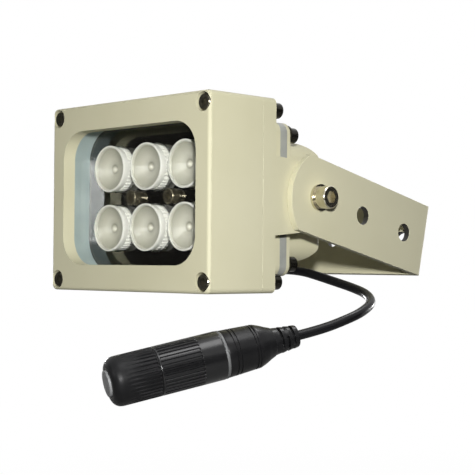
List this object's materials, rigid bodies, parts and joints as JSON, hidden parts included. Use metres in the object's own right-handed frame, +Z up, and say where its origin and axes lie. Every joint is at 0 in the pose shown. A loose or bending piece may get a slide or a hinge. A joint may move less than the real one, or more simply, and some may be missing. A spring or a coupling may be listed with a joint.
{
  "type": "infrared illuminator",
  "caption": "Boxy infrared flood lamp with lenses behind a window, a folded tilt bracket and a short cable with a sealed in-line connector.",
  "frame": {"origin": "middle of the bracket web's wall face, at the web's centre hole", "axes": "+Z up, -Y towards where the level lamp shines, +X to the side of the cable; the bracket slopes 13 degrees up to the lamp's pivot"},
  "size_m": [0.1628, 0.2036, 0.1265],
  "materials": {
    "cream_paint": "satin powder coat",
    "window_glass": "clear",
    "silicone": "matt translucent silicone",
    "black_rubber": "matt",
    "gloss_black": "mirror gloss",
    "board": "white solder mask on an aluminium core",
    "heat_pad": "matt",
    "steel": "stainless",
    "black_steel": "black oxide",
    "holder_white": "translucent satin",
    "lens": "frosted acrylic",
    "emitter": "clear dome on a ceramic base",
    "circuit": "solder mask",
    "inductor": "ferrite",
    "capacitor": "sleeved",
    "terminal": "moulded",
    "copper": "bare",
    "cable_jacket": "satin",
    "plug_black": "satin moulded",
    "grey_seal": "matt",
    "pin_brass": "bright"
  },
  "bodies": {
    "bracket": {"mounting_bracket": "cream_paint"},
    "lamp": {"front_housing": "cream_paint", "rear_cover": "cream_paint", "driver_cover": "cream_paint", "window_glass": "window_glass", "window_gasket": "silicone", "driver_gasket": "silicone", "housing_seal": "black_rubber", "cable_boot": "black_rubber", "lens_plate": "gloss_black", "led_board": "board", "thermal_pad": "heat_pad", "board_screws": "steel", "pivot_screws": "steel", "pivot_washers": "steel", "plate_spacers": "steel", "front_screws": "black_steel", "rear_screws": "black_steel", "rear_lock_washers": "black_steel", "rear_flat_washers": "black_steel", "cover_screws": "black_steel", "cover_lock_washers": "black_steel", "cover_flat_washers": "black_steel", "driver_screws": "black_steel", "lens_holder_1": "holder_white", "lens_holder_2": "holder_white", "lens_holder_3": "holder_white", "lens_holder_4": "holder_white", "lens_holder_5": "holder_white", "lens_holder_6": "holder_white", "lens_1": "lens", "lens_2": "lens", "lens_3": "lens", "lens_4": "lens", "lens_5": "lens", "lens_6": "lens", "led_emitter_1": "emitter", "led_emitter_2": "emitter", "led_emitter_3": "emitter", "led_emitter_4": "emitter", "led_emitter_5": "emitter", "led_emitter_6": "emitter", "driver_board": "circuit", "driver_inductor": "inductor", "driver_capacitors": "capacitor", "terminal_block": "terminal", "lamp_leads": "copper", "cable": "cable_jacket", "plug_body": "plug_black", "coupling_sleeve": "plug_black", "gland_nut": "plug_black", "contact_insert": "plug_black", "coupling_o_ring": "grey_seal", "end_seal": "grey_seal", "contact_pins": "pin_brass"}
  },
  "joints": [
    {"name": "tilt", "type": "hinge", "parent": "bracket", "child": "lamp", "pos_m": [0, -0.07844, 0.01811], "axis": [1, 0, 0], "range_deg": [-103, 37]}
  ]
}
